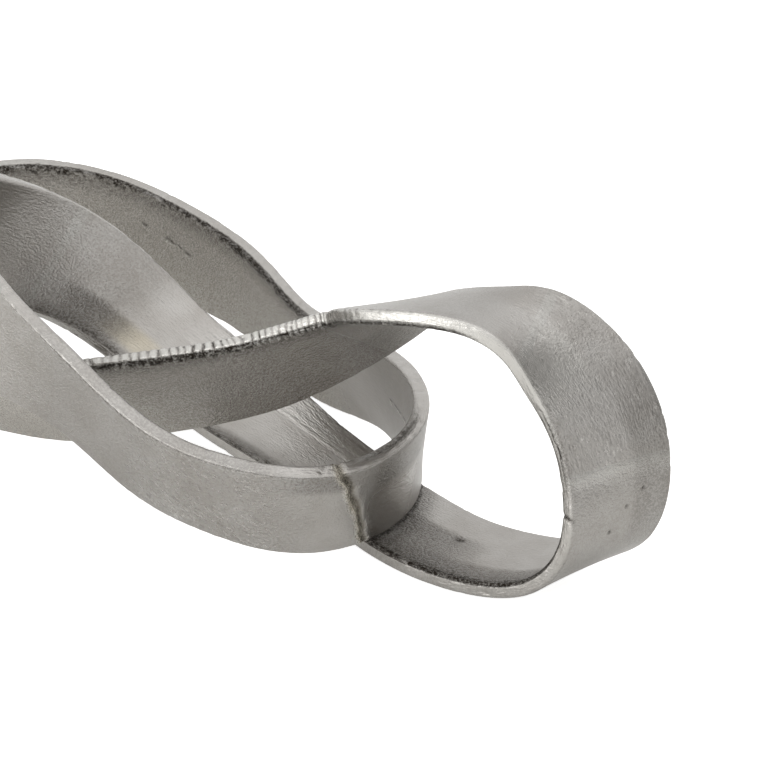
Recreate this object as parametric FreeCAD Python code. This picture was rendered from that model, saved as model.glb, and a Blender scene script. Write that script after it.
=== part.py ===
"""Cast and welded metal knot sculpture.

One flat band runs once round a closed overhand knot and comes back to its start turned over, so it
is one-sided: its two edges are a single line that goes round twice. The band is cast as nine curved
limbs. Each limb ends in a bevel all round, two limbs meet face to face at the bevels' roots, and a
ring of weld metal fills the groove between them. Flats ground on three of the limbs let it stand.

Millimetres, +Z up. The knot stands on Z = 0, its long way is X, and the upright loop is at +X.
"""
import FreeCAD, Part
import math
import os
from collections import namedtuple

# Driving dimensions of the whole knot
knot_length = 456.0
knot_breadth = 204.0
band_width = 57.0
band_thickness = 8.0
edge_radius = 2.0

# Weld preparation: each limb's end tapers to its root face within the bevel's length
bevel_length = 2.4
bevel_depth = 2.0
weld_crown = 0.3
tightest_radius_share = 0.9

# Depth of the flats ground on the underside, measured up from the lowest point of the rough casting
rest_depth = 0.5

# Spacing of the sections along a limb
section_spacing = 14.0

# Stations round the knot, each at the middle of the band. The first two values are shares of the
# knot's length and breadth from its centre, the third is the height in band widths. The last two
# aim the band's first edge: its heading round Z from +X, and its tilt up from level, in degrees.
# The rows aren't chosen by hand: they are a least-squares fit to the photo's edges, rounded, with
# the three rows from the small loop moved by hand. report.md says more.
Station =namedtuple("Station", "along across level heading tilt")
station_shares = [
    Station(0.163, 0.037, 0.123, -89, 3),
    Station(0.277, 0.006, 0.089, -85, 1),
    Station(0.388, 0.042, 0.186, -81, 4),
    Station(0.461, 0.076, 0.687, -99, 12),
    Station(0.452, 0.103, 1.570, -111, -4),
    Station(0.396, 0.072, 2.225, -92, -8),
    Station(0.326, -0.005, 2.528, -73, 10),
    Station(0.223, -0.038, 2.307, -82, 20),
    Station(0.162, 0.024, 1.890, -91, 35),
    Station(0.064, -0.089, 1.340, -103, 48),
    Station(-0.041, -0.224, 1.020, -108, 55),
    Station(-0.145, -0.290, 0.720, -107, 57),
    Station(-0.248, -0.304, 0.550, -107, 59),
    Station(-0.351, -0.262, 0.482, -108, 69),
    Station(-0.441, -0.139, 0.562, -93, 79),
    Station(-0.484, 0.070, 0.686, -50, 80),
    Station(-0.449, 0.290, 0.770, -42, 81),
    Station(-0.361, 0.414, 0.720, -3, 85),
    Station(-0.259, 0.461, 0.643, -56, 81),
    Station(-0.151, 0.436, 0.562, -74, 78),
    Station(-0.052, 0.357, 0.495, -97, 77),
    Station(0.050, 0.299, 0.591, -115, 72),
    Station(0.156, 0.180, 0.687, -87, 87),
    Station(0.220, -0.023, 0.695, 1, 77),
    Station(0.204, -0.265, 0.692, -17, 69),
    Station(0.117, -0.386, 0.740, -33, 64),
    Station(0.016, -0.427, 0.900, -39, 62),
    Station(-0.088, -0.427, 1.237, -41, 67),
    Station(-0.189, -0.421, 1.473, 5, 74),
    Station(-0.287, -0.352, 1.680, 41, 65),
    Station(-0.359, -0.188, 1.681, 44, 61),
    Station(-0.331, -0.005, 1.322, 69, 58),
    Station(-0.232, 0.048, 1.104, 85, 24),
    Station(-0.129, 0.039, 0.840, 84, 3),
    Station(-0.030, 0.033, 0.585, 86, 5),
    Station(0.070, 0.019, 0.395, 90, -4),
]
lap = len(station_shares)

# Limbs in their order round the knot: name, and the stations where each starts and ends
Limb = namedtuple("Limb", "name start end")
limbs = [
    Limb("upright_loop_limb", 0.0, 3.7),
    Limb("loop_crown_limb", 3.7, 5.4),
    Limb("top_limb", 5.4, 12.0),
    Limb("left_loop_limb", 12.0, 16.0),
    Limb("back_limb", 16.0, 20.4),
    Limb("small_loop_limb", 20.4, 23.6),
    Limb("front_limb", 23.6, 28.0),
    Limb("inner_loop_limb", 28.0, 31.6),
    Limb("low_limb", 31.6, 36.0),
]

# Welds in the same order: each closes the groove at the start of the limb of the same place
weld_names = [
    "low_to_upright_weld",
    "upright_to_crown_weld",
    "crown_to_top_weld",
    "top_to_left_weld",
    "left_to_back_weld",
    "back_to_small_weld",
    "small_to_front_weld",
    "front_to_inner_weld",
    "inner_to_low_weld",
]


def station_middle(station):
    """Place of the band's middle at a station."""
    return FreeCAD.Vector(
        station.along * knot_length, station.across * knot_breadth, station.level * band_width
    )


def station_edge_way(station):
    """Unit vector from the band's middle towards its first edge."""
    heading = math.radians(station.heading)
    tilt = math.radians(station.tilt)
    level = math.cos(tilt)
    return FreeCAD.Vector(level * math.cos(heading), level * math.sin(heading), math.sin(tilt))


def edge_line():
    """The band's edge: one closed curve through both edges of every station, in two laps."""
    half = band_width / 2
    first = [station_middle(s) + station_edge_way(s) * half for s in station_shares]
    second = [station_middle(s) - station_edge_way(s) * half for s in station_shares]
    points = first + second
    line = Part.BSplineCurve()
    line.interpolate(
        Points=points, PeriodicFlag=True, Parameters=[float(i) for i in range(len(points) + 1)]
    )
    return line


edge = edge_line()


def frame_at(place):
    """Middle, edge direction and face normal of the band at a place counted in stations."""
    laps = 2 * lap
    near = place % laps
    far = (place + lap) % laps
    middle = (edge.value(near) + edge.value(far)) / 2
    forward = edge.tangent(near)[0] * edge.getD1(near)[1].Length
    forward = (forward + edge.tangent(far)[0] * edge.getD1(far)[1].Length).normalize()
    across = edge.value(near) - edge.value(far)
    across = (across - forward * across.dot(forward)).normalize()
    return middle, across, forward.cross(across)


def rounded_section(place, inset=0.0):
    """Closed wire of the band's rounded section, smaller all round by the inset."""
    middle, across, normal = frame_at(place)
    half_w = band_width / 2 - inset
    half_t = band_thickness / 2 - inset
    radius = min(edge_radius, half_t * tightest_radius_share)
    slack = radius * (1 - math.sqrt(0.5))

    def spot(a, b):
        return middle + across * a + normal * b

    corners = []
    for sign_a, sign_b, turned in ((1, 1, False), (-1, 1, True), (-1, -1, False), (1, -1, True)):
        on_side = spot(sign_a * half_w, sign_b * (half_t - radius))
        on_face = spot(sign_a * (half_w - radius), sign_b * half_t)
        bulge = spot(sign_a * (half_w - slack), sign_b * (half_t - slack))
        ends = (on_face, on_side) if turned else (on_side, on_face)
        corners.append(Part.Arc(ends[0], bulge, ends[1]).toShape())
    outline = []
    for i, corner in enumerate(corners):
        following = corners[(i + 1) % len(corners)]
        outline.append(corner)
        outline.append(Part.makeLine(corner.lastVertex().Point, following.firstVertex().Point))
    return Part.Wire(outline)


def places_between(start, end):
    """Evenly spread places between two, closer together than the section spacing."""
    chords = 16
    middles = [frame_at(start + (end - start) * i / chords)[0] for i in range(chords + 1)]
    length = sum((there - here).Length for here, there in zip(middles, middles[1:]))
    fewest = 3
    steps = max(fewest, math.ceil(length / section_spacing))
    return [start + (end - start) * i / steps for i in range(steps + 1)]


def stations_per_length(place):
    """How many stations one millimetre along the band makes up at a place."""
    nudge = 0.05
    span = (frame_at(place + nudge)[0] - frame_at(place - nudge)[0]).Length
    return 2 * nudge / span


def taper(full_place, root_place):
    """Solid between a full section and the smaller root face beside it."""
    wires = [rounded_section(full_place), rounded_section(root_place, bevel_depth)]
    return Part.makeLoft(wires, True, True)


def bevel_faces(full_place, root_place):
    """Sloping faces between a full section and the smaller root face beside it."""
    wires = [rounded_section(full_place), rounded_section(root_place, bevel_depth)]
    return Part.makeLoft(wires, False, True).Faces


def make_limb(limb):
    """A cast limb: a smooth run of sections, with a bevelled root face at each end."""
    near = limb.start + bevel_length * stations_per_length(limb.start)
    far = limb.end - bevel_length * stations_per_length(limb.end)
    wires = [rounded_section(p) for p in places_between(near, far)]
    faces = Part.makeLoft(wires, False, False).Faces
    for full_place, root_place in ((near, limb.start), (far, limb.end)):
        faces += bevel_faces(full_place, root_place)
        faces.append(Part.Face(rounded_section(root_place, bevel_depth)))
    skin = Part.makeCompound(faces)
    skin.sewShape()
    return Part.Solid(skin.Shells[0])


def make_weld(place):
    """Ring of weld metal in the groove at a joint, crowned a little proud of the band."""
    reach = bevel_length * stations_per_length(place)
    before = rounded_section(place - reach)
    crown = rounded_section(place, -weld_crown)
    after = rounded_section(place + reach)
    plug = Part.makeLoft([before, crown, after], True, True)
    ring = plug.cut([taper(place - reach, place), taper(place + reach, place)])
    return ring.Solids[0]


def true_box(shapes):
    """Box round all the shapes, measured on their surfaces."""
    box = FreeCAD.BoundBox()
    for shape in shapes:
        box.add(shape.optimalBoundingBox(False, False))
    return box


def stand_and_grind(solids):
    """Centres the knot over the origin, lowers it on Z = 0 and grinds off what lies below."""
    box = true_box(solids.values())
    lift = -(box.ZMin + rest_depth)
    bed = Part.makeBox(box.XLength, box.YLength, box.ZLength)
    bed.translate(FreeCAD.Vector(-box.XLength / 2, -box.YLength / 2, -box.ZLength))
    standing = {}
    for name, shape in solids.items():
        shape = shape.translated(FreeCAD.Vector(-box.Center.x, -box.Center.y, lift))
        if true_box([shape]).ZMin < 0:
            shape = shape.cut(bed).Solids[0]
            print(name, "has a ground flat")
        standing[name] = shape
    return standing


def main():
    """Builds every node and writes its STEP file."""
    os.makedirs("parts", exist_ok=True)
    solids = {}
    for limb, weld_name in zip(limbs, weld_names):
        solids[limb.name] = make_limb(limb)
        solids[weld_name] = make_weld(limb.start)
    for name, shape in stand_and_grind(solids).items():
        print(name, shape.ShapeType, shape.isValid(), round(shape.Volume), shape.BoundBox)
        shape.exportStep("parts/" + name + ".step")


main()
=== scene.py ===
"""Looks of the cast and welded metal knot sculpture.

One flat band runs round a closed overhand knot. Each cast limb and each ring of weld metal is built
here as a fine mesh on the same stations as the solid model, with the marks that casting, rasping,
welding and satin polishing leave on it: a rough skin, rasp notches, ground facets, pits and nicks.
Some marks also paint light into the colour: a sheen, bright specks, and shade under the small loop
and on some stretches.
"""
import logging
import math
from abc import ABC, abstractmethod
from dataclasses import dataclass, field, fields
from enum import Enum

import bpy
import numpy as np
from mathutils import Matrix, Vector


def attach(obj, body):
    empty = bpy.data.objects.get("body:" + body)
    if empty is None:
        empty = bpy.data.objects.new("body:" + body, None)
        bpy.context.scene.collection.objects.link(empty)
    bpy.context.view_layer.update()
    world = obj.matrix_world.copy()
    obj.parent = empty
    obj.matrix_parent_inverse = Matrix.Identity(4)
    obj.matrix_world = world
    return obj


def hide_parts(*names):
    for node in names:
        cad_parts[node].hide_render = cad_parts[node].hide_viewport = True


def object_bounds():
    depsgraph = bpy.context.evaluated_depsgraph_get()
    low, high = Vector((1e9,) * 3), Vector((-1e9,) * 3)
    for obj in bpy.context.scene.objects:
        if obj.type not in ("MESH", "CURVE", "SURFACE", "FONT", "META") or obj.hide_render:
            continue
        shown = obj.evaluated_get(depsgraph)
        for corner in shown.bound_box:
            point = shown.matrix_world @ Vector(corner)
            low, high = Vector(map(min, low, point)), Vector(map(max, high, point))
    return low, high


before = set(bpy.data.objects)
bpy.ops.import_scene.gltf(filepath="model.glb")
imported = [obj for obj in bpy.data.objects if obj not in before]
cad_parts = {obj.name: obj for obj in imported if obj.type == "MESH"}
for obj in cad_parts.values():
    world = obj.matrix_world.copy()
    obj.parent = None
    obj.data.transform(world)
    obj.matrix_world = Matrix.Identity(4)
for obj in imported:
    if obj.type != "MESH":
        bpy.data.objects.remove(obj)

MM = 0.001
# The band's half sizes and the radius of its rounded edges, in millimetres
HALF_WIDTH = 28.5
HALF_THICKNESS = 4.0
EDGE_RADIUS = 2.0
# What the marks leave at each point of a mesh, for the material to read
SHARE_NAMES = ("grime_and_shade", "polish_and_sheen", "grain", "warm")
# Factors and bit masks that scramble a lattice point and a seed into a random-looking number
LATTICE_FACTORS = (374761393, 668265263, 2147483647)
SEED_FACTOR = 1274126177
SCRAMBLE_FACTOR = 1103515245
KEY_BITS = 0x7FFFFFFF
VALUE_BITS = 0xFFFF
Array = np.ndarray
Pair = tuple[float, float]
Tree = bpy.types.NodeTree
Socket = bpy.types.NodeSocket
log = logging.getLogger("knot")
cad_low, cad_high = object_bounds()


class Side(Enum):
    """The band's two faces, by which way along its normal they look."""

    UPPER = 1
    LOWER = -1


UPPER, LOWER = Side


# Stations round the knot, each at the middle of the band. The first three values are its shares
# of the knot's length, of its breadth and of the band's width. The last two aim the band's first
# edge: its heading and its tilt, in degrees. The same rows as in the part's source: a
# least-squares fit to the photo's edges, rounded, with the three from the small loop moved one by one.
STATIONS = (
    (0.163, 0.037, 0.123, -89, 3),
    (0.277, 0.006, 0.089, -85, 1),
    (0.388, 0.042, 0.186, -81, 4),
    (0.461, 0.076, 0.687, -99, 12),
    (0.452, 0.103, 1.570, -111, -4),
    (0.396, 0.072, 2.225, -92, -8),
    (0.326, -0.005, 2.528, -73, 10),
    (0.223, -0.038, 2.307, -82, 20),
    (0.162, 0.024, 1.890, -91, 35),
    (0.064, -0.089, 1.340, -103, 48),
    (-0.041, -0.224, 1.020, -108, 55),
    (-0.145, -0.290, 0.720, -107, 57),
    (-0.248, -0.304, 0.550, -107, 59),
    (-0.351, -0.262, 0.482, -108, 69),
    (-0.441, -0.139, 0.562, -93, 79),
    (-0.484, 0.070, 0.686, -50, 80),
    (-0.449, 0.290, 0.770, -42, 81),
    (-0.361, 0.414, 0.720, -3, 85),
    (-0.259, 0.461, 0.643, -56, 81),
    (-0.151, 0.436, 0.562, -74, 78),
    (-0.052, 0.357, 0.495, -97, 77),
    (0.050, 0.299, 0.591, -115, 72),
    (0.156, 0.180, 0.687, -87, 87),
    (0.220, -0.023, 0.695, 1, 77),
    (0.204, -0.265, 0.692, -17, 69),
    (0.117, -0.386, 0.740, -33, 64),
    (0.016, -0.427, 0.900, -39, 62),
    (-0.088, -0.427, 1.237, -41, 67),
    (-0.189, -0.421, 1.473, 5, 74),
    (-0.287, -0.352, 1.680, 41, 65),
    (-0.359, -0.188, 1.681, 44, 61),
    (-0.331, -0.005, 1.322, 69, 58),
    (-0.232, 0.048, 1.104, 85, 24),
    (-0.129, 0.039, 0.840, 84, 3),
    (-0.030, 0.033, 0.585, 86, 5),
    (0.070, 0.019, 0.395, 90, -4),
)
LAP = len(STATIONS)


def smooth_noise(points: Array, seed: int) -> Array:
    """Smooth random values from -1 to 1, one for each point, on a lattice of unit cells.

    Args:
        points: Places, as an array that ends in three coordinates.
        seed: Number that picks the pattern.
    """
    cell = np.floor(points).astype(np.int64)
    part = points - cell
    ease = part * part * part * (part * (part * 6 - 15) + 10)
    total = np.zeros(points.shape[:-1])
    for corner in np.ndindex(2, 2, 2):
        spot = cell + np.array(corner)
        key = sum(spot[..., axis] * factor for axis, factor in enumerate(LATTICE_FACTORS))
        key = (key + seed * SEED_FACTOR) & KEY_BITS
        key = ((key ^ (key >> 13)) * SCRAMBLE_FACTOR) & KEY_BITS
        value = ((key ^ (key >> 16)) & VALUE_BITS) / (VALUE_BITS / 2) - 1
        weight = np.prod(np.where(np.array(corner) == 1, ease, 1 - ease), axis=-1)
        total += value * weight
    return total


def fade(values: Array, start: float, end: float) -> Array:
    """Rises smoothly from 0 at start to 1 at end, and falls where end is below start."""
    share = np.clip((values - start) / (end - start), 0, 1)
    return share * share * (3 - 2 * share)


@dataclass
class Band:
    """The whole band's line and sizes, in millimetres.

    The edge is one closed curve through both edges of every station, in two laps. The steps are
    counts of spaces between points.
    """

    length: float = 456.0
    breadth: float = 204.0
    width: float = 2 * HALF_WIDTH
    thickness: float = 2 * HALF_THICKNESS
    edge_radius: float = EDGE_RADIUS
    tightest_radius_share: float = 0.9
    face_steps: int = 60
    corner_steps: int = 6
    rim_steps: int = 4
    line_steps: int = 400
    foot_steps: int = 60
    box_steps: int = 24
    fewest_rows: int = 4
    row_spacing: float = 0.9
    points: Array = field(init=False)
    bends: Array = field(init=False)
    offset: Array = field(init=False)

    def __post_init__(self) -> None:
        """Solves the edge's curve and moves it to where the solid model stands."""
        stations = np.array(STATIONS)
        middles = stations[:, :3] * (self.length, self.breadth, self.width)
        heading, tilt = np.radians(stations[:, 3:]).T
        level = np.cos(tilt)
        ways = np.stack([level * np.cos(heading), level * np.sin(heading), np.sin(tilt)], axis=1)
        to_edge = ways * self.width / 2
        self.points = np.concatenate([middles + to_edge, middles - to_edge])
        count = len(self.points)
        one = np.eye(count)
        matrix = 4 * one + np.roll(one, 1, axis=0) + np.roll(one, -1, axis=0)
        before, after = np.roll(self.points, 1, axis=0), np.roll(self.points, -1, axis=0)
        self.bends = np.linalg.solve(matrix, 6 * (before - 2 * self.points + after))
        self.offset = np.zeros(3)
        rough = self.surface(np.linspace(0, LAP, self.box_steps * LAP))[0].reshape(-1, 3)
        low, high = rough.min(axis=0), rough.max(axis=0)
        cad_middle = (np.array(cad_low) + np.array(cad_high)) / 2 / MM
        self.offset = cad_middle - (low + high) / 2
        self.offset[2] = cad_high.z / MM - high[2]

    def edge(self, places: Array) -> tuple[Array, Array]:
        """Points and slopes of the edge's curve at places counted in stations."""
        count = len(self.points)
        whole = np.floor(places)
        here = whole.astype(int) % count
        there = (here + 1) % count
        after = (places - whole)[:, None]
        before = 1 - after
        p, q = self.points[here], self.points[there]
        m, n = self.bends[here] / 6, self.bends[there] / 6
        value = p * before + q * after + (before**3 - before) * m + (after**3 - after) * n
        slope = q - p - (3 * before**2 - 1) * m + (3 * after**2 - 1) * n
        return value, slope

    def frames(self, places: Array) -> tuple[Array, Array, Array]:
        """Middles, edge directions and face normals of the band at places."""
        near, near_slope = self.edge(places)
        far, far_slope = self.edge(places + LAP)
        forward = near_slope + far_slope
        forward /= np.linalg.norm(forward, axis=1, keepdims=True)
        across = near - far
        across -= forward * np.sum(across * forward, axis=1, keepdims=True)
        across /= np.linalg.norm(across, axis=1, keepdims=True)
        return (near + far) / 2 + self.offset, across, np.cross(forward, across)

    def outline(self, inset: float = 0.0) -> tuple[Array, Array]:
        """Points round the band's section, smaller all round by the inset, and where each looks.

        Both have two columns: across the band, and along its normal.
        """
        half_w, half_t = self.width / 2 - inset, self.thickness / 2 - inset
        radius = min(self.edge_radius, half_t * self.tightest_radius_share)
        flat_w, flat_t = half_w - radius, half_t - radius
        places, ways = [], []
        corners = ((flat_w, flat_t), (-flat_w, flat_t), (-flat_w, -flat_t), (flat_w, -flat_t))
        for index, (a, b) in enumerate(corners):
            for step in range(self.corner_steps + 1):
                angle = math.radians(90 * index + 90 * step / self.corner_steps)
                way = (math.cos(angle), math.sin(angle))
                places.append((a + radius * way[0], b + radius * way[1]))
                ways.append(way)
            steps = self.face_steps if index % 2 == 0 else self.rim_steps
            following = corners[(index + 1) % len(corners)]
            end = (following[0] + radius * way[0], following[1] + radius * way[1])
            begin = places[-1]
            for step in range(1, steps):
                share = step / steps
                places.append(tuple(p + (q - p) * share for p, q in zip(begin, end)))
                ways.append(way)
        return np.array(places), np.array(ways)

    def surface(self, places: Array, inset: float = 0.0) -> tuple[Array, Array]:
        """Points and outward directions of the smooth band, by row and by place in its section."""
        middle, across, normal = self.frames(places)
        spots, ways = self.outline(inset)
        points = middle[:, None] + across[:, None] * spots[None, :, :1]
        points = points + normal[:, None] * spots[None, :, 1:]
        outward = across[:, None] * ways[None, :, :1] + normal[:, None] * ways[None, :, 1:]
        return points, outward

    def runs(self, places: Array) -> Array:
        """Lengths along the band's middle, in millimetres, from the first place."""
        middle = self.frames(places)[0]
        steps = np.linalg.norm(np.diff(middle, axis=0), axis=1)
        return np.concatenate([[0.0], np.cumsum(steps)])

    def run_to(self, place: float) -> float:
        """Length along the band from its start to a place, in millimetres."""
        return self.runs(np.linspace(0, place, self.line_steps))[-1] if place else 0.0

    def foot_line(self, start: float, end: float) -> Array:
        """Points along the band's second edge, in millimetres."""
        middle, across, _ = self.frames(np.linspace(start, end, self.foot_steps))
        return middle - across * self.width / 2

    def rows(self, start: float, end: float) -> Array:
        """Places from start to end, evenly spaced along the band."""
        fine = np.linspace(start, end, self.line_steps)
        run = self.runs(fine)
        count = max(self.fewest_rows, math.ceil(run[-1] / self.row_spacing))
        return np.interp(np.linspace(0, run[-1], count + 1), run, fine)


@dataclass
class Patch:
    """A stretch of the band's smooth skin, on which marks are made.

    place is each row's place in stations, run its length along the band in millimetres, a and b
    the places round the section, side which face each is on, and spots the points, in millimetres.
    """

    place: Array
    run: Array
    a: Array
    b: Array
    side: Array
    spots: Array

    def noise(self, size: float, seed: int) -> Array:
        """Smooth random values from -1 to 1, with cells of a size in millimetres."""
        return smooth_noise(self.spots / size, seed)

    def stretch(self, start: float, end: float, soft: float = 0.25) -> Array:
        """1 for the rows between two places, with soft ends, as a column."""
        rise = fade(self.place, start - soft, start + soft)
        return (rise * fade(self.place, end + soft, end - soft))[:, None]

    def on(self, side: Side) -> Array:
        """1 for the places on one face, as a row."""
        return (self.side == side.value)[None, :].astype(float)

    def run_at(self, place: float) -> float:
        """Length along the band at a place, past the patch's ends too."""
        slope = (self.run[-1] - self.run[0]) / (self.place[-1] - self.place[0])
        return np.interp(place, self.place, self.run) + slope * (
            min(0.0, place - self.place[0]) + max(0.0, place - self.place[-1])
        )


@dataclass
class Skin:
    """What the marks make of a patch, by row and place in the section.

    height is in millimetres, outward. The others are shares from 0 to 1: dark patina that also
    paints shade, hand polishing that the material also shows as a painted sheen, the casting's
    grain, which also carries painted bright specks, and a warm tint.
    """

    height: Array
    grime_and_shade: Array
    polish_and_sheen: Array
    grain: Array
    warm: Array

    def soil_and_shade(self, share: Array) -> None:
        """Adds dark colour: patina, and painted shade."""
        self.grime_and_shade = 1 - (1 - self.grime_and_shade) * (1 - np.clip(share, 0, 1))

    def shine(self, share: Array) -> None:
        """Adds polishing, which the material also shows as a painted sheen."""
        self.polish_and_sheen = 1 - (1 - self.polish_and_sheen) * (1 - np.clip(share, 0, 1))

    def roughen(self, share: Array) -> None:
        """Adds grain: bumps and dark specks, with painted bright specks in the colour."""
        self.grain = 1 - (1 - self.grain) * (1 - np.clip(share, 0, 1))


class Mark(ABC):
    """Something that shapes or soils the skin."""

    @abstractmethod
    def apply(self, patch: Patch, skin: Skin) -> None:
        """Leaves the mark on the skin of a patch, over the marks before it."""


@dataclass
class CastSkin(Mark):
    """The slow swell of a hand-made pattern, and the sand's grain in patches."""

    swell: float = 0.13
    wavelength: float = 30.0
    ripple: float = 0.45
    bumps: float = 0.03
    bump_size: float = 2.2
    patch_size: float = 34.0
    grain: float = 0.04
    patch_grain: float = 0.12
    seed: int = 3

    def apply(self, patch: Patch, skin: Skin) -> None:
        """Swell and bumps over all of the patch."""
        slow = patch.noise(self.wavelength, self.seed)
        slow += self.ripple * patch.noise(self.wavelength / 3, self.seed + 1)
        patches = 0.5 + 0.5 * patch.noise(self.patch_size, self.seed + 2)
        fine = patch.noise(self.bump_size, self.seed + 3)
        skin.height += self.swell * slow + self.bumps * fine * (0.3 + patches)
        skin.roughen(self.grain + self.patch_grain * patches)


@dataclass
class RimPolishAndSheen(Mark):
    """Rims polished smoother and less grainy than the faces, with a painted sheen and small nicks."""

    begins: float = 26.7
    border: float = 1.2
    share: float = 0.22
    nick_depth: float = 0.3
    nick_size: float = 3.6
    grain_lost: float = 0.7
    seed: int = 15

    def apply(self, patch: Patch, skin: Skin) -> None:
        """Softly nicked rims, with a patchy painted sheen."""
        rim = fade(np.abs(patch.a), self.begins, self.begins + self.border)[None, :]
        nicks = fade(patch.noise(self.nick_size, self.seed), 0.25, 0.75)
        # Patchy polishing along the rims, with its painted sheen
        rub_and_sheen = 0.8 + 0.35 * patch.noise(0.6 * self.nick_size, self.seed + 1)
        skin.height -= self.nick_depth * nicks * rim
        skin.shine(self.share * rim * (1 - 0.5 * nicks) * rub_and_sheen)
        skin.grain *= 1 - self.grain_lost * rim


@dataclass
class FaceTone(Mark):
    """A stretch of one face, or of the first rim, whose colour is set unlike the rest.

    The lighter colour it gives is a painted sheen; on some stretches the darker colour is painted
    shade.

    low and high are its borders across the band, in millimetres from the middle.
    """

    side: Side | None
    start: float
    end: float
    grime_and_shade: float = 0.0
    polish_and_sheen: float = 0.0
    grain: float = 0.0
    warm: float = 0.0
    low: float = -40.0
    high: float = 40.0
    soft: float = 0.3
    border: float = 3.0
    rim: Pair = (26.4, 27.6)

    def apply(self, patch: Patch, skin: Skin) -> None:
        """Evens out the tone over the stretch."""
        band = fade(patch.a, self.low - self.border, self.low + self.border)
        band = band * fade(patch.a, self.high + self.border, self.high - self.border)
        where = fade(patch.a, *self.rim)[None, :] if self.side is None else patch.on(self.side)
        share = patch.stretch(self.start, self.end, self.soft) * where * band[None, :]
        skin.soil_and_shade(self.grime_and_shade * share)
        skin.shine(self.polish_and_sheen * share)
        skin.roughen(self.grain * share)
        skin.warm += self.warm * share


@dataclass
class RimGrime(Mark):
    """Dark, grainy patina that stays on a face beside its rim.

    It begins a little below the rim's crown; its inner border is ragged, with a haze beyond.
    """

    side: Side
    edge: int
    start: float
    end: float
    width: float = 3.0
    strength: float = 0.8
    begins: float = 2.4
    haze: float = 0.5
    grain: float = 0.9
    depth: float = 0.2
    clumps: tuple[float, float, float] = (2.6, 15.0, 1.9)
    seed: int = 21

    def apply(self, patch: Patch, skin: Skin) -> None:
        """Dark next to the rim, thinner and broken farther in."""
        from_crown = patch.b * self.side.value
        on_face = from_crown > HALF_THICKNESS - 0.05
        inward = HALF_WIDTH - patch.a * self.edge
        from_crown = from_crown + np.where(on_face, inward - EDGE_RADIUS, 0.0)
        past = (from_crown - self.begins)[None, :]
        small, large, fine = self.clumps
        ragged = self.width * (1 + 0.5 * patch.noise(small, self.seed))
        ragged = ragged + 0.6 * self.width * patch.noise(large, self.seed + 1)
        core = fade(past, -0.5, 0.7) * fade(past - ragged, 0.5 * self.width, -0.4 * self.width)
        haze = fade(past, 0.0, 0.8) * fade(past, 5.0 * self.width, 0.5 * self.width)
        where = (patch.a * self.edge > 0)[None, :] * patch.stretch(self.start, self.end)
        share = np.maximum(core, self.haze * haze) * where
        broken = 0.95 + 0.25 * patch.noise(fine, self.seed + 2)
        skin.soil_and_shade(self.strength * share * broken)
        skin.roughen(self.grain * share)
        skin.height -= self.depth * core * where * broken


@dataclass
class RaspNotches(Mark):
    """Coarse notches that a rasp left across a rim.

    They begin at start, are full from full on, and stop at end. rim is where they fade in.
    """

    edge: int
    start: float
    full: float
    end: float
    pitch: float = 4.4
    depth: float = 0.7
    slant: float = -0.1
    sharpness: int = 6
    rim: Pair = (24.9, 26.8)
    seed: int = 31

    def apply(self, patch: Patch, skin: Skin) -> None:
        """Narrow notches darkened in colour, between lands lightened by a painted sheen."""
        near_rim = fade(patch.a * self.edge, *self.rim)[None, :]
        reach = fade(patch.place, self.start, self.full)
        reach = reach * fade(patch.place, self.end, self.end - 0.2)
        share = near_rim * reach[:, None]
        jitter = 2.6 * patch.noise(11.0, self.seed) + 0.5 * patch.noise(2.5, self.seed + 1)
        turn = (patch.run[:, None] + self.slant * patch.b[None, :] + jitter) / self.pitch
        wave = 0.5 + 0.5 * np.cos(2 * math.pi * turn)
        notch = wave**self.sharpness
        uneven = 0.6 + 0.7 * patch.noise(6.0, self.seed + 2)
        skin.height -= self.depth * (notch + 0.15 * wave) * share * np.clip(uneven, 0, 1.2)
        skin.soil_and_shade(notch * share * np.clip(1.2 * uneven, 0, 1))
        skin.shine((1 - wave**2) * share)


@dataclass
class Pit(Mark):
    """A small blow hole in the casting, or a nick in a rim."""

    side: Side | None
    place: float
    across: float
    radius: float = 0.9
    depth: float = 0.6
    stretch: float = 1.3
    grime_and_shade: float = 0.85

    def apply(self, patch: Patch, skin: Skin) -> None:
        """A dark dip."""
        run = patch.run[:, None] - patch.run_at(self.place)
        far = (run / self.stretch) ** 2 + (patch.a[None, :] - self.across) ** 2
        near = np.exp(-far / self.radius**2)
        if self.side is not None:
            near = near * patch.on(self.side)
        skin.height -= self.depth * near
        skin.soil_and_shade(self.grime_and_shade * near)


@dataclass
class Scratch(Mark):
    """A broken, bright scratch from one place on a face to another."""

    side: Side
    start: Pair
    end: Pair
    width: float = 0.9
    waver: float = 1.2
    burr_height: float = 0.4
    groove_depth: float = 0.15
    grime_and_shade: float = 0.6
    seed: int = 41

    def apply(self, patch: Patch, skin: Skin) -> None:
        """Burrs lightened by a painted sheen, with dark lines beside them."""
        begin = np.array([patch.run_at(self.start[0]), self.start[1]])
        way = np.array([patch.run_at(self.end[0]), self.end[1]]) - begin
        length = np.linalg.norm(way)
        run = patch.run[:, None] - begin[0]
        across = patch.a[None, :] - begin[1]
        down = (run * way[0] + across * way[1]) / length
        aside = (across * way[0] - run * way[1]) / length
        aside = aside + self.waver * patch.noise(7.0, self.seed)
        inside = fade(down, -1.0, 1.0) * fade(down, length + 1.0, length - 1.0)
        broken = fade(patch.noise(3.5, self.seed + 1), -0.25, 0.3)
        share = inside * broken * patch.on(self.side)
        burr = np.exp(-((aside / self.width) ** 2)) * share
        beside = np.exp(-(((aside - 1.8 * self.width) / self.width) ** 2)) * share
        skin.height += self.burr_height * burr - self.groove_depth * beside
        skin.shine(burr)
        skin.soil_and_shade(self.grime_and_shade * beside)


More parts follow.
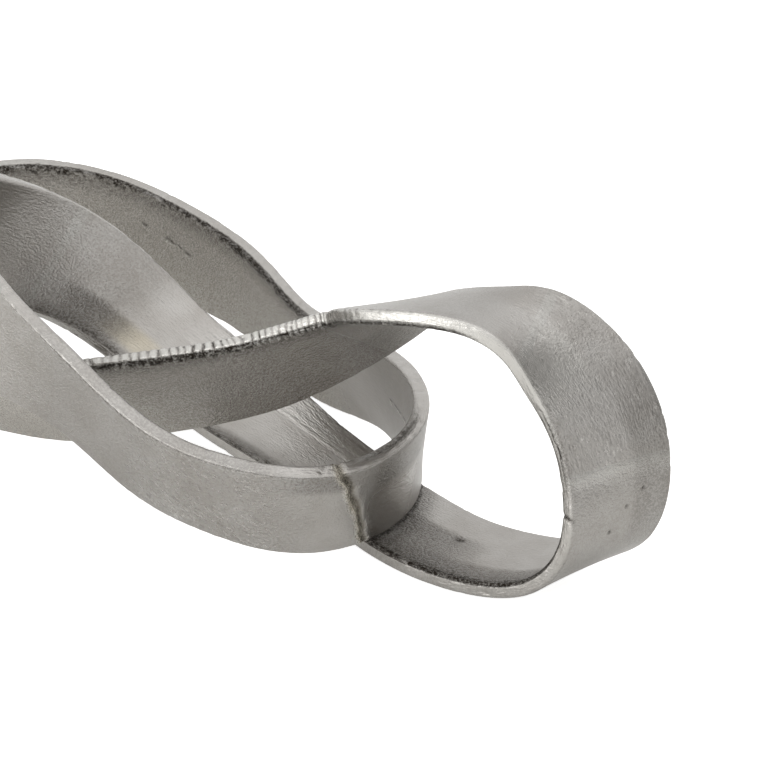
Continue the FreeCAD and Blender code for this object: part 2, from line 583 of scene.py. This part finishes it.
@dataclass
class Flecks(Mark):
    """Short raised flecks, where a grinding disc skipped over the skin, each with a painted highlight.

    turn is their angle from the band's line, in degrees.
    """

    side: Side
    start: float
    end: float
    length: float = 5.0
    width: float = 1.1
    amount: float = 0.5
    turn: float = 0.0
    height: float = 0.05
    polish_and_sheen: float = 0.45
    grime_and_shade: float = 0.2
    seed: int = 51

    def apply(self, patch: Patch, skin: Skin) -> None:
        """Small raised flecks, along the band or turned across it."""
        cos, sin = math.cos(math.radians(self.turn)), math.sin(math.radians(self.turn))
        run, across = patch.run[:, None], patch.a[None, :]
        along = (run * cos + across * sin) / self.length
        aside = (across * cos - run * sin) / self.width
        value = smooth_noise(np.stack([along, aside, np.zeros_like(along)], axis=-1), self.seed)
        patches = 0.25 * patch.noise(16.0, self.seed + 1)
        near = fade(value + patches, 0.78 - 0.4 * self.amount, 0.95 - 0.4 * self.amount)
        where = patch.on(self.side) * patch.stretch(self.start, self.end)
        share = near * where
        skin.height += self.height * share
        skin.shine(self.polish_and_sheen * share)
        skin.soil_and_shade(self.grime_and_shade * fade(value, -0.45, -0.8) * where)


@dataclass
class GroundFacet(Mark):
    """A strip along one edge of a face that was ground flatter, with a crease at its border.

    crease is the border's place across the band halfway along, and crease_slope how far it
    moves per station. The strip reaches its depth at fall millimetres past the crease.
    """

    side: Side
    start: float
    end: float
    crease: float
    crease_slope: float
    depth: float = 0.9
    fall: float = 20.0
    streak_length: float = 22.0
    streak_width: float = 1.3
    streak_depth: float = 0.07
    lip_height: float = 0.16
    lip_width: float = 0.9
    seed: int = 61

    def apply(self, patch: Patch, skin: Skin) -> None:
        """A darker, streaked strip that slopes away from its crease."""
        middle = (self.start + self.end) / 2
        border = self.crease + self.crease_slope * (patch.place - middle)[:, None]
        past = patch.a[None, :] - (border + 0.7 * patch.noise(9.0, self.seed))
        share = patch.on(self.side) * patch.stretch(self.start, self.end)
        slope = np.clip(np.clip(past, 0, None) / self.fall, 0, 1)
        along, across = patch.run[:, None] / self.streak_length, patch.a[None, :] / self.streak_width
        lattice = np.stack(np.broadcast_arrays(along, across, 0 * past), axis=-1)
        streak = smooth_noise(lattice, self.seed + 1)
        facet = fade(past, -0.5, 0.8) * share
        skin.height -= (self.depth * slope + self.streak_depth * streak * facet) * share
        skin.soil_and_shade(facet * (0.02 + 0.2 * streak))
        # A painted sheen lightens the facet
        skin.shine(0.3 * facet)
        # A raised lip along the crease, with a painted highlight on it
        lip = np.exp(-(((past + 0.6) / self.lip_width) ** 2)) * share
        skin.height += self.lip_height * lip
        skin.shine(0.5 * lip)


@dataclass
class CreaseJoint(Mark):
    """A joint that wasn't blended: one limb's end stands proud and the other dips beside it."""

    side: Side
    place: float
    slant: float
    ridge: float = 0.7
    recess: float = 0.7
    ridge_width: float = 1.2
    recess_width: float = 1.9
    rim: Pair = (27.0, 28.0)
    polish_and_sheen: float = 1.6
    grime_and_shade: float = 0.7
    warm: float = 0.25
    seed: int = 71

    def apply(self, patch: Patch, skin: Skin) -> None:
        """A rounded ridge with a painted highlight, and a darker brown recess along the joint."""
        line = patch.run_at(self.place) + self.slant * patch.a[None, :]
        past = patch.run[:, None] - (line + 1.0 * patch.noise(6.0, self.seed))
        here = np.maximum(patch.on(self.side), fade(patch.a, *self.rim)[None, :])
        high = np.exp(-(((past - self.ridge_width) / self.ridge_width) ** 2)) * here
        low = np.exp(-(((past + 0.5 * self.recess_width) / self.recess_width) ** 2)) * here
        uneven = 0.75 + 0.4 * patch.noise(3.0, self.seed + 1)
        skin.height += (self.ridge * high - self.recess * low) * uneven
        skin.soil_and_shade(self.grime_and_shade * low * uneven)
        skin.shine(self.polish_and_sheen * high * uneven)
        skin.warm += self.warm * (high + low) * here
        skin.roughen(np.maximum(0.4 * high, low))


@dataclass
class SeamGlow(Mark):
    """A joint that was blended well: only a soft, polished line is left, made pale by a painted sheen.
    """

    place: float
    width: float = 3.4
    waver: float = 1.3
    polish_and_sheen: float = 0.34
    grain: float = 0.2
    seed: int = 81

    def apply(self, patch: Patch, skin: Skin) -> None:
        """A pale line of painted sheen all round the band."""
        line = patch.run_at(self.place) + self.waver * patch.noise(14.0, self.seed)
        past = (patch.run[:, None] - line) / self.width
        near = np.exp(-(past**2)) * (0.8 + 0.5 * patch.noise(5.0, self.seed + 1))
        skin.shine(self.polish_and_sheen * near)
        skin.roughen(self.grain * near)


@dataclass
class PaintedFootShadow(Mark):
    """Painted shadow on a face under the edge of another stretch of the band that stands over it."""

    side: Side
    foot: Array
    start: float
    end: float
    width: float = 2.4
    strength: float = 0.9
    haze: float = 0.4
    seed: int = 91

    def apply(self, patch: Patch, skin: Skin) -> None:
        """Painted shadow, dark next to the foot's line and fuzzy farther out."""
        if patch.place[-1] < self.start or patch.place[0] > self.end:
            return
        rows = (patch.place >= self.start) & (patch.place <= self.end)
        spots = patch.spots[rows]
        near = np.full(spots.shape[:2], np.inf)
        for point in self.foot:
            near = np.minimum(near, np.linalg.norm(spots - point, axis=-1))
        ragged = near - smooth_noise(spots / 2.2, self.seed)
        core = fade(ragged, 2.6 * self.width, 1.3 * self.width)
        haze = self.haze * fade(ragged, 7.0 * self.width, 1.5 * self.width)
        share = np.zeros(patch.spots.shape[:2])
        share[rows] = np.maximum(core, haze)
        share *= patch.on(self.side)
        skin.soil_and_shade(self.strength * share)
        skin.roughen(share)


def linear(hex_colour: str) -> tuple[float, float, float, float]:
    """An sRGB hex colour as linear red, green, blue and alpha."""
    values = [int(hex_colour[i : i + 2], 16) / 255 for i in (1, 3, 5)]
    curved = [v / 12.92 if v <= 0.04045 else ((v + 0.055) / 1.055) ** 2.4 for v in values]
    return (*curved, 1.0)


def add_node(
    tree: Tree, kind: str, settings: dict | None = None, inputs: dict | None = None
) -> bpy.types.Node:
    """Adds a node with its settings, and its inputs by name or number.

    An input is a value or another node's output.
    """
    node = tree.nodes.new(kind)
    for name, value in (settings or {}).items():
        setattr(node, name, value)
    for name, value in (inputs or {}).items():
        if isinstance(value, Socket):
            tree.links.new(value, node.inputs[name])
        else:
            node.inputs[name].default_value = value
    return node


def noise(tree: Tree, vector: Socket, size: float, detail: float) -> Socket:
    """Smooth noise whose largest features have a size."""
    inputs = {"Vector": vector, "Scale": 1 / size, "Detail": detail, "Roughness": 0.6}
    return add_node(tree, "ShaderNodeTexNoise", inputs=inputs).outputs["Fac"]


def ranged(tree: Tree, value: Socket, source: tuple, target: tuple) -> Socket:
    """A value moved from one range to another, and held within it."""
    inputs = {"Value": value, "From Min": source[0], "From Max": source[1]}
    inputs |= {"To Min": target[0], "To Max": target[1]}
    return add_node(tree, "ShaderNodeMapRange", inputs=inputs).outputs["Result"]


def reckoned(tree: Tree, operation: str, *values: Socket | float, clamp: bool = False) -> Socket:
    """What a math operation makes of some values."""
    settings = {"operation": operation, "use_clamp": clamp}
    return add_node(tree, "ShaderNodeMath", settings, dict(enumerate(values))).outputs[0]


def product(tree: Tree, first: Socket, second: Socket) -> Socket:
    """One value times another, held between 0 and 1."""
    return reckoned(tree, "MULTIPLY", first, second, clamp=True)


def mixed(tree: Tree, share: Socket, first: Socket | tuple, second: tuple) -> Socket:
    """The first colour, with a share of the second."""
    inputs = {0: share, 6: first, 7: second}
    return add_node(tree, "ShaderNodeMix", {"data_type": "RGBA"}, inputs).outputs[2]


@dataclass(frozen=True)
class CastAluminium:
    """Sand-cast aluminium, ground and satin polished, with a nickel-like tone.

    It gives the eye a soft grey sheen, broken by the sparkle of the casting skin, with brown-black
    patina where the grinding didn't reach. Its polished colour is a painted sheen, its bright specks
    are painted highlights, and its brown-black colour also paints shade. Sizes and heights are in
    millimetres. A span holds the values between which a feature comes in.
    """

    name: str
    bright_hex: str = "#B1AEAA"
    dull_hex: str = "#A4A09B"
    painted_sheen_hex: str = "#D3D1CC"
    grime_and_shade_hex: str = "#2E2821"
    warm_hex: str = "#C6B78E"
    speck_hex: str = "#6B5F52"
    painted_glint_hex: str = "#F0EEE8"
    roughness: float = 0.28
    smoothed: float = 0.1
    smooth_span: Pair = (0.0, 0.6)
    patch_size: float = 30.0
    grain_size: float = 1.15
    streak_size: Pair = (4.0, 1.1)
    grain_height: float = 2.2
    streak_height: float = 0.4
    least_grain: float = 0.06
    tone_span: Pair = (0.35, 0.65)
    speck_span: Pair = (0.5, 0.62)
    speck_share: float = 0.7
    painted_glint_span: Pair = (0.58, 0.68)
    painted_glint_share: float = 0.6
    broken_span: Pair = (0.38, 0.58)
    broken_range: Pair = (0.6, 1.2)

    def build(self) -> bpy.types.Material:
        """Makes the material."""
        material = bpy.data.materials.new(self.name)
        material.use_nodes = True
        tree = material.node_tree
        shader = tree.nodes["Principled BSDF"]
        shader.inputs["Metallic"].default_value = 1.0
        place = add_node(tree, "ShaderNodeTexCoord").outputs["Object"]
        band = add_node(tree, "ShaderNodeUVMap", {"uv_map": "band"}).outputs["UV"]
        shares = {
            name: add_node(tree, "ShaderNodeAttribute", {"attribute_name": name}).outputs["Fac"]
            for name in SHARE_NAMES
        }
        patches = noise(tree, place, self.patch_size * MM, detail=3.0)
        grain = noise(tree, place, self.grain_size * MM, detail=4.0)
        speckle = noise(tree, place, self.grain_size * MM, detail=2.0)
        scale = (1 / self.streak_size[0], 1 / self.streak_size[1], 1.0)
        stretched = add_node(tree, "ShaderNodeMapping", inputs={"Vector": band, "Scale": scale})
        streaks = noise(tree, stretched.outputs["Vector"], 1.0, detail=3.0)
        specks = ranged(tree, speckle, self.speck_span, (0.0, self.speck_share))
        # Painted glint specks: bright in the colour where the grain noise peaks
        painted_glints = ranged(tree, grain, self.painted_glint_span, (0.0, self.painted_glint_share))
        broken = ranged(tree, speckle, self.broken_span, self.broken_range)
        tone = ranged(tree, patches, self.tone_span, (0.0, 1.0))
        colour = mixed(tree, tone, linear(self.dull_hex), linear(self.bright_hex))
        # Colour layers: painted sheen, warm tint, dark specks, painted bright specks, and dark patina
        # with painted shade
        for share, layer_hex in (
            (shares["polish_and_sheen"], self.painted_sheen_hex),
            (shares["warm"], self.warm_hex),
            (product(tree, shares["grain"], specks), self.speck_hex),
            (product(tree, shares["grain"], painted_glints), self.painted_glint_hex),
            (product(tree, shares["grime_and_shade"], broken), self.grime_and_shade_hex),
        ):
            colour = mixed(tree, share, colour, linear(layer_hex))
        tree.links.new(colour, shader.inputs["Base Color"])
        satin = (self.roughness, self.roughness - self.smoothed)
        satin = ranged(tree, shares["polish_and_sheen"], self.smooth_span, satin)
        tree.links.new(satin, shader.inputs["Roughness"])
        height = ranged(tree, shares["grain"], (0.0, 1.0), (self.least_grain, 1.0))
        height = product(tree, height, grain)
        normal = shader.inputs["Normal"]
        for raised, size in ((streaks, self.streak_height), (height, self.grain_height)):
            bump = add_node(tree, "ShaderNodeBump", inputs={"Height": raised, "Distance": size * MM})
            tree.links.new(bump.outputs["Normal"], normal)
            normal = bump.inputs["Normal"]
        return material


def make_mesh(
    name: str, points: Array, faces: list, band_map: Array, shares: dict[str, Array], crisp: Array
) -> bpy.types.Object:
    """Makes a smooth mesh object, held inside the solid model's box.

    Args:
        name: The piece's name.
        points: Its points, in millimetres.
        faces: Its faces, as tuples of point numbers.
        band_map: For each face corner, the place along and across the band, in millimetres.
        shares: For each attribute of the skin, its value at each point.
        crisp: For each point, the number of its crisp ring, or -1.
    """
    low, high = np.array(cad_low) / MM, np.array(cad_high) / MM
    points = np.clip(points, low, high) * MM
    mesh = bpy.data.meshes.new(name)
    mesh.from_pydata(points.tolist(), [], faces)
    mesh.polygons.foreach_set("use_smooth", np.ones(len(mesh.polygons), bool))
    ends = np.zeros(2 * len(mesh.edges), int)
    mesh.edges.foreach_get("vertices", ends)
    rings = crisp[ends.reshape(-1, 2)]
    sharp = mesh.attributes.new("sharp_edge", "BOOLEAN", "EDGE")
    sharp.data.foreach_set("value", (rings[:, 0] == rings[:, 1]) & (rings[:, 0] >= 0))
    layer = mesh.uv_layers.new(name="band")
    layer.uv.foreach_set("vector", band_map.astype(np.float32).ravel())
    for share_name, values in shares.items():
        attribute = mesh.attributes.new(share_name, "FLOAT", "POINT")
        attribute.data.foreach_set("value", values.astype(np.float32).ravel())
    mesh.update()
    piece = bpy.data.objects.new(name, mesh)
    bpy.context.scene.collection.objects.link(piece)
    return piece


@dataclass
class WeldPrep:
    """Sizes of the bevelled groove between two limbs, and of its weld, in millimetres."""

    length: float = 2.4
    depth: float = 2.0
    crown: float = 0.04
    rows: int = 9


@dataclass
class Knot:
    """The knot: its limbs and the welds between them."""

    band: Band
    prep: WeldPrep
    marks: list[Mark]

    def reach(self, place: float) -> float:
        """The bevel's length at a place, in stations."""
        nudge = 0.05
        middles = self.band.frames(np.array([place - nudge, place + nudge]))[0]
        return self.prep.length * 2 * nudge / np.linalg.norm(middles[1] - middles[0])

    def skin(
        self, places: Array, start: float, lift: Array | None = None
    ) -> tuple[Array, Array, Skin]:
        """The marked skin over some rows.

        Args:
            places: The rows' places, in stations.
            start: Where the piece's limb begins, in stations. A weld has its joint's place.
            lift: Extra height of each row, in millimetres.

        Returns:
            Points by row and place in the section, lengths along the band, and the skin.
        """
        spots = self.band.outline()[0]
        points, outward = self.band.surface(places)
        run = self.band.run_to(start) + self.band.runs(np.concatenate([[start], places]))[1:]
        if places[0] < start:
            # A weld's rows begin one bevel's length before its joint
            run = self.band.run_to(start) + self.band.runs(places) - self.prep.length
        on_face = np.abs(spots[:, 0]) < self.band.width / 2 - 0.3 * self.band.edge_radius
        side = np.sign(spots[:, 1]) * on_face
        patch = Patch(places, run, spots[:, 0], spots[:, 1], side, points)
        skin = Skin(*(np.zeros(points.shape[:2]) for _ in fields(Skin)))
        for mark in self.marks:
            mark.apply(patch, skin)
        if lift is not None:
            skin.height += lift[:, None]
        return points + outward * skin.height[..., None], run, skin

    def limb(self, name: str, start: float, end: float) -> bpy.types.Object:
        """A cast limb between two joints, with a bevelled root face at each end."""
        near, far = start + self.reach(start), end - self.reach(end)
        places = self.band.rows(near, far)
        rows, run, skin = self.skin(places, start)
        roots = [self.band.surface(np.array([p]), self.prep.depth)[0] for p in (start, end)]
        points = np.concatenate([roots[0], rows, roots[1]])
        run = np.concatenate([[run[0]], run, [run[-1]]])
        return self.tube(name, points, run, skin, ((1, 1), (0, 0)), capped=True)

    def weld(self, name: str, place: float) -> bpy.types.Object:
        """Weld metal in the groove at a joint, ground almost flush."""
        reach = self.reach(place)
        places = np.linspace(place - reach, place + reach, self.prep.rows)
        bow = self.prep.crown * np.sin(np.linspace(0, math.pi, len(places)))
        rows, run, skin = self.skin(places, place, bow)
        root = self.band.surface(np.array([place]), self.prep.depth)[0]
        points = np.concatenate([rows, root])
        run = np.concatenate([run, [run[-1]]])
        return self.tube(name, points, run, skin, ((0, 1), (0, 0)), capped=False)

    def tube(
        self, name: str, rows: Array, run: Array, skin: Skin, padding: tuple, capped: bool
    ) -> bpy.types.Object:
        """Joins rows of points into a closed mesh, with flat caps or as a ring.

        Args:
            name: The piece's name.
            rows: Points by row and place in the section, in millimetres.
            run: Each row's length along the band, in millimetres.
            skin: The skin of the rows that show.
            padding: How many hidden rows come before and after those that show.
            capped: Whether the tube has end faces; a ring closes on itself instead.
        """
        count, around = rows.shape[:2]
        girth = 2 * (self.band.width + self.band.thickness)
        faces, corners = [], []
        last = count - 1 if capped else count
        for i in range(last):
            j = (i + 1) % count
            for k in range(around):
                m = (k + 1) % around
                faces.append((i * around + k, j * around + k, j * around + m, i * around + m))
                low, high = girth * k / around, girth * (k + 1) / around
                corners += [(run[i], low), (run[j], low), (run[j], high), (run[i], high)]
        if capped:
            faces.append(tuple(range(around)))
            faces.append(tuple(reversed(range((count - 1) * around, count * around))))
            corners += [(0.0, 0.0)] * (2 * around)
        shares = {key: np.pad(getattr(skin, key), padding, "edge") for key in SHARE_NAMES}
        first, final = padding[0][0], count - 1 - padding[0][1]
        crisp = np.full((count, around), -1)
        crisp[first] = first
        crisp[final] = final
        return make_mesh(name, rows.reshape(-1, 3), faces, np.array(corners), shares, crisp.ravel())


# Each limb with the stations where it starts and ends, and the weld at its start
LIMBS = (
    ("upright_loop_limb", 0.0, 3.7, "low_to_upright_weld"),
    ("loop_crown_limb", 3.7, 5.4, "upright_to_crown_weld"),
    ("top_limb", 5.4, 12.0, "crown_to_top_weld"),
    ("left_loop_limb", 12.0, 16.0, "top_to_left_weld"),
    ("back_limb", 16.0, 20.4, "left_to_back_weld"),
    ("small_loop_limb", 20.4, 23.6, "back_to_small_weld"),
    ("front_limb", 23.6, 28.0, "small_to_front_weld"),
    ("inner_loop_limb", 28.0, 31.6, "front_to_inner_weld"),
    ("low_limb", 31.6, 36.0, "inner_to_low_weld"),
)


def place_facing(thing: bpy.types.Object, place: Vector, way: Vector) -> None:
    """Puts a lamp or a camera in the scene, looking one way."""
    thing.location = place
    thing.rotation_mode = "QUATERNION"
    thing.rotation_quaternion = way.to_track_quat("-Z", "Y")
    bpy.context.scene.collection.objects.link(thing)


@dataclass
class Studio:
    """White table and backdrop, soft lamps and the camera. Sizes in metres."""

    azimuth: float = 40.0
    elevation: float = 30.0
    lens: float = 1200.0
    view_width: float = 0.3686
    aim: tuple[float, float, float] = (-0.0037, 0.1064, -0.0007)
    floor_half: float = 3.0
    card_feet: tuple[Pair, ...] = ((0.62, 0.05), (0.42, 0.75))
    card_height: float = 0.5
    room_level: float = 0.8
    seen_glow: float = 0.8
    floor_mirrored: float = 0.25

    @staticmethod
    def panel(name: str, corners: list, material: bpy.types.Material) -> bpy.types.Object:
        """A flat panel with four corners, linked to the scene."""
        mesh = bpy.data.meshes.new(name)
        mesh.from_pydata(corners, [], [(0, 1, 2, 3)])
        mesh.materials.append(material)
        panel = bpy.data.objects.new(name, mesh)
        bpy.context.scene.collection.objects.link(panel)
        return panel

    def matt(self, name: str, hex_colour: str, specular: float, mirrored: float) -> bpy.types.Material:
        """A matt material that looks white in the background, with no more light on the knot.

        mirrored is the strength of the glow that reflections and glass show.
        """
        material = bpy.data.materials.new(name)
        material.use_nodes = True
        tree = material.node_tree
        shader = tree.nodes["Principled BSDF"]
        shader.inputs["Base Color"].default_value = linear(hex_colour)
        shader.inputs["Roughness"].default_value = 0.9
        shader.inputs["Specular IOR Level"].default_value = specular
        ray = add_node(tree, "ShaderNodeLightPath").outputs
        indirect = reckoned(tree, "MAXIMUM", ray["Is Glossy Ray"], ray["Is Transmission Ray"])
        faint = reckoned(tree, "MULTIPLY", indirect, mirrored)
        glow = reckoned(tree, "MULTIPLY_ADD", ray["Is Camera Ray"], self.seen_glow, faint)
        shader.inputs["Emission Color"].default_value = (1, 1, 1, 1)
        tree.links.new(glow, shader.inputs["Emission Strength"])
        return material

    def build_floor(self) -> None:
        """A pale floor that looks white and keeps the knot's shadow."""
        half = self.floor_half
        corners = [(-half, -half, 0), (half, -half, 0), (half, half, 0), (-half, half, 0)]
        table = self.matt("white table", "#F4F4F2", specular=0.1, mirrored=self.floor_mirrored)
        floor = self.panel("floor", corners, table)

    def build_card(self) -> None:
        """A grey card at the right, out of the picture, that darkens the loop's outer face.

        It looks white from other sides, like the rest of the background.
        """
        near, far = self.card_feet
        top = self.card_height
        corners = [(*near, 0.0), (*far, 0.0), (*far, top), (*near, top)]
        card = self.panel("grey card", corners, self.matt("grey card", "#B8B8B8", 0.5, 0.0))

    def build_world(self) -> None:
        """A white room that lights the knot evenly and shows white in it."""
        world = bpy.data.worlds.new("white room")
        bpy.context.scene.world = world
        world.use_nodes = True
        tree = world.node_tree
        back = tree.nodes["Background"]
        back.inputs["Color"].default_value = (1, 1, 1, 1)
        ray = add_node(tree, "ShaderNodeLightPath").outputs
        seen = reckoned(tree, "MAXIMUM", ray["Is Camera Ray"], ray["Is Glossy Ray"])
        seen = reckoned(tree, "MAXIMUM", seen, ray["Is Transmission Ray"])
        level = ranged(tree, seen, (0.0, 1.0), (self.room_level, 1.0))
        tree.links.new(level, back.inputs["Strength"])

    def build_lamps(self) -> None:
        """A large soft lamp overhead, and a low one in front and to the left."""
        self.add_lamp("overhead", Vector((0.1, 0.3, 1.4)), size=1.5, watts=2.6)
        self.add_lamp("front", Vector((-0.4, -1.15, 0.4)), size=0.9, watts=5.0)

    @staticmethod
    def add_lamp(name: str, place: Vector, size: float, watts: float) -> None:
        """Adds a soft square lamp that is aimed at the knot."""
        light = bpy.data.lights.new(name, "AREA")
        light.energy = watts
        light.size = size
        place_facing(bpy.data.objects.new(name, light), place, -place)

    def build_camera(self) -> None:
        """The camera, far off with a long lens, as flat as the photograph's perspective."""
        azimuth, elevation = math.radians(self.azimuth), math.radians(self.elevation)
        level = math.cos(elevation)
        back = Vector((math.sin(azimuth) * level, -math.cos(azimuth) * level, math.sin(elevation)))
        data = bpy.data.cameras.new("camera")
        data.lens = self.lens
        distance = self.view_width * data.lens / data.sensor_width
        data.clip_end = distance * 2
        camera = bpy.data.objects.new("camera", data)
        place_facing(camera, Vector(self.aim) + back * distance, -back)
        bpy.context.scene.camera = camera

    def build(self) -> None:
        """Sets up everything that isn't the knot."""
        self.build_floor()
        self.build_world()
        self.build_lamps()
        self.build_card()
        self.build_camera()
        bpy.context.scene.view_settings.view_transform = "Standard"


def knot_marks(band: Band) -> list[Mark]:
    """The marks that show in the photo, in the order in which they are made."""
    return [
        CastSkin(),
        RimPolishAndSheen(),
        # Stretches toned lighter, darker, rougher or warmer than the rest; the lighter tone is a
        # painted sheen
        FaceTone(LOWER, 6.0, 12.0, grain=0.8),
        # Painted highlight along the first rim over the loop's crown
        FaceTone(None, 4.0, 7.6, polish_and_sheen=0.6),
        FaceTone(None, 24.4, 27.5, grime_and_shade=0.2),
        FaceTone(None, 0.3, 2.8, grime_and_shade=0.24),
        FaceTone(None, 9.2, 11.2, grime_and_shade=0.1),
        FaceTone(LOWER, 23.75, 24.4, grime_and_shade=0.2, grain=0.6, low=16.0, soft=0.2),
        FaceTone(UPPER, 32.6, 33.2, warm=0.28, low=-22.0, high=-8.0),
        FaceTone(UPPER, 31.9, 32.7, grime_and_shade=0.25, grain=0.8, high=-8.0),
        FaceTone(UPPER, 31.2, 32.6, grime_and_shade=0.14, grain=0.3),
        # Painted shadow under the crown, on the top limb's lower face
        FaceTone(LOWER, 7.2, 8.4, grime_and_shade=0.2, high=-3.0),
        # Painted sheen lightening faces deep inside the knot, on the top, back and low limbs
        FaceTone(LOWER, 8.4, 12.0, polish_and_sheen=0.3, warm=0.06),
        FaceTone(UPPER, 16.0, 20.4, polish_and_sheen=0.35, warm=0.08),
        FaceTone(UPPER, 34.4, 36.0, polish_and_sheen=0.4, low=9.0, high=20.0),
        # Painted highlight on the small loop's outer face, near its end
        FaceTone(LOWER, 22.9, 23.5, polish_and_sheen=0.4, high=4.0, soft=0.1),
        FaceTone(LOWER, 25.8, 27.2, grime_and_shade=0.12),
        FaceTone(LOWER, 24.2, 28.4, grain=0.5),
        FaceTone(UPPER, 21.4, 22.6, grime_and_shade=0.12),
        FaceTone(UPPER, 4.6, 5.4, polish_and_sheen=0.4, low=-6.0),
        FaceTone(UPPER, 4.8, 5.6, grime_and_shade=0.1, high=-12.0),
        FaceTone(UPPER, 15.0, 20.4, grain=0.75),
        FaceTone(LOWER, 0.0, 1.2, grime_and_shade=0.3, grain=0.6, low=-6.0),
        FaceTone(LOWER, 0.9, 2.9, grime_and_shade=0.3, grain=0.8, low=14.0),
        FaceTone(UPPER, 2.3, 3.6, polish_and_sheen=0.06, soft=0.06),
        FaceTone(UPPER, 1.6, 3.6, grime_and_shade=0.14, soft=0.1),
        FaceTone(UPPER, 3.0, 4.3, grime_and_shade=0.22, high=-8.0),
        FaceTone(UPPER, 5.9, 8.2, grime_and_shade=0.15),
        FaceTone(LOWER, 21.6, 23.5, grime_and_shade=0.32, low=9.0, soft=0.1),
        # Patina beside the rims
        RimGrime(LOWER, 1, 6.0, 14.0, width=2.6, strength=0.9, begins=1.9),
        RimGrime(UPPER, 1, 15.6, 20.4, width=3.0, strength=0.9, begins=1.4),
        RimGrime(LOWER, 1, 0.2, 3.3, width=2.6, strength=0.85),
        RimGrime(UPPER, 1, 3.6, 4.5, width=1.2, strength=0.95, begins=1.0),
        RimGrime(UPPER, 1, 22.9, 23.6, width=2.5, strength=0.75, begins=0.0),
        RimGrime(UPPER, -1, 31.6, 36.0, width=1.6, strength=0.5),
        # The rasped edge, the ground facet and the two joints that show
        RaspNotches(edge=1, start=5.9, full=8.4, end=14.0),
        GroundFacet(UPPER, 33.2, 36.0, crease=9.5, crease_slope=1.0),
        CreaseJoint(LOWER, 23.71, 0.38),
        SeamGlow(3.63),
        # Small marks
        Flecks(UPPER, 3.8, 5.6, length=2.0, width=0.45, amount=0.1),
        Flecks(LOWER, 24.6, 26.0, length=2.4, width=0.6, amount=0.4, turn=25.0, seed=55),
        Pit(LOWER, 1.03, -3.8, radius=1.3, depth=0.8, stretch=1.8),
        Pit(UPPER, 3.47, -12.5, radius=0.7),
        Pit(UPPER, 3.33, -3.8, radius=0.6),
        Pit(UPPER, 3.08, 3.8, radius=0.8),
        Pit(None, 3.28, 28.5, radius=1.6, depth=0.7, stretch=0.8),
        Scratch(UPPER, (17.5, 9.0), (18.3, 1.0)),
        Scratch(UPPER, (21.65, 2.5), (22.12, 2.5), width=0.6, seed=44),
        # Painted contact shadow where the small loop stands over other limbs
        PaintedFootShadow(LOWER, band.foot_line(21.8, 23.9), 0.0, 1.6),
        PaintedFootShadow(UPPER, band.foot_line(21.8, 23.9), 34.8, 36.1, seed=95),
    ]


def main() -> None:
    """Builds the knot and its studio."""
    logging.basicConfig(level=logging.INFO, format="%(name)s: %(message)s")
    band = Band()
    knot = Knot(band, WeldPrep(), knot_marks(band))
    cast = CastAluminium("sand-cast aluminium").build()
    weld = CastAluminium("weld aluminium", bright_hex="#B5B3AF", dull_hex="#A7A49F").build()
    for name, start, end, weld_name in LIMBS:
        for node, piece, material, slot in (
            (name, knot.limb("cast_" + name, start, end), cast, "cast_metal"),
            (weld_name, knot.weld("ground_" + weld_name, start), weld, "weld_metal"),
        ):
            piece.data.materials.append(material)
            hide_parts(node)
            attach(piece, "root")
            log.info("%s: %d faces", piece.name, len(piece.data.polygons))
    Studio().build()


if __name__ == "__main__":
    main()
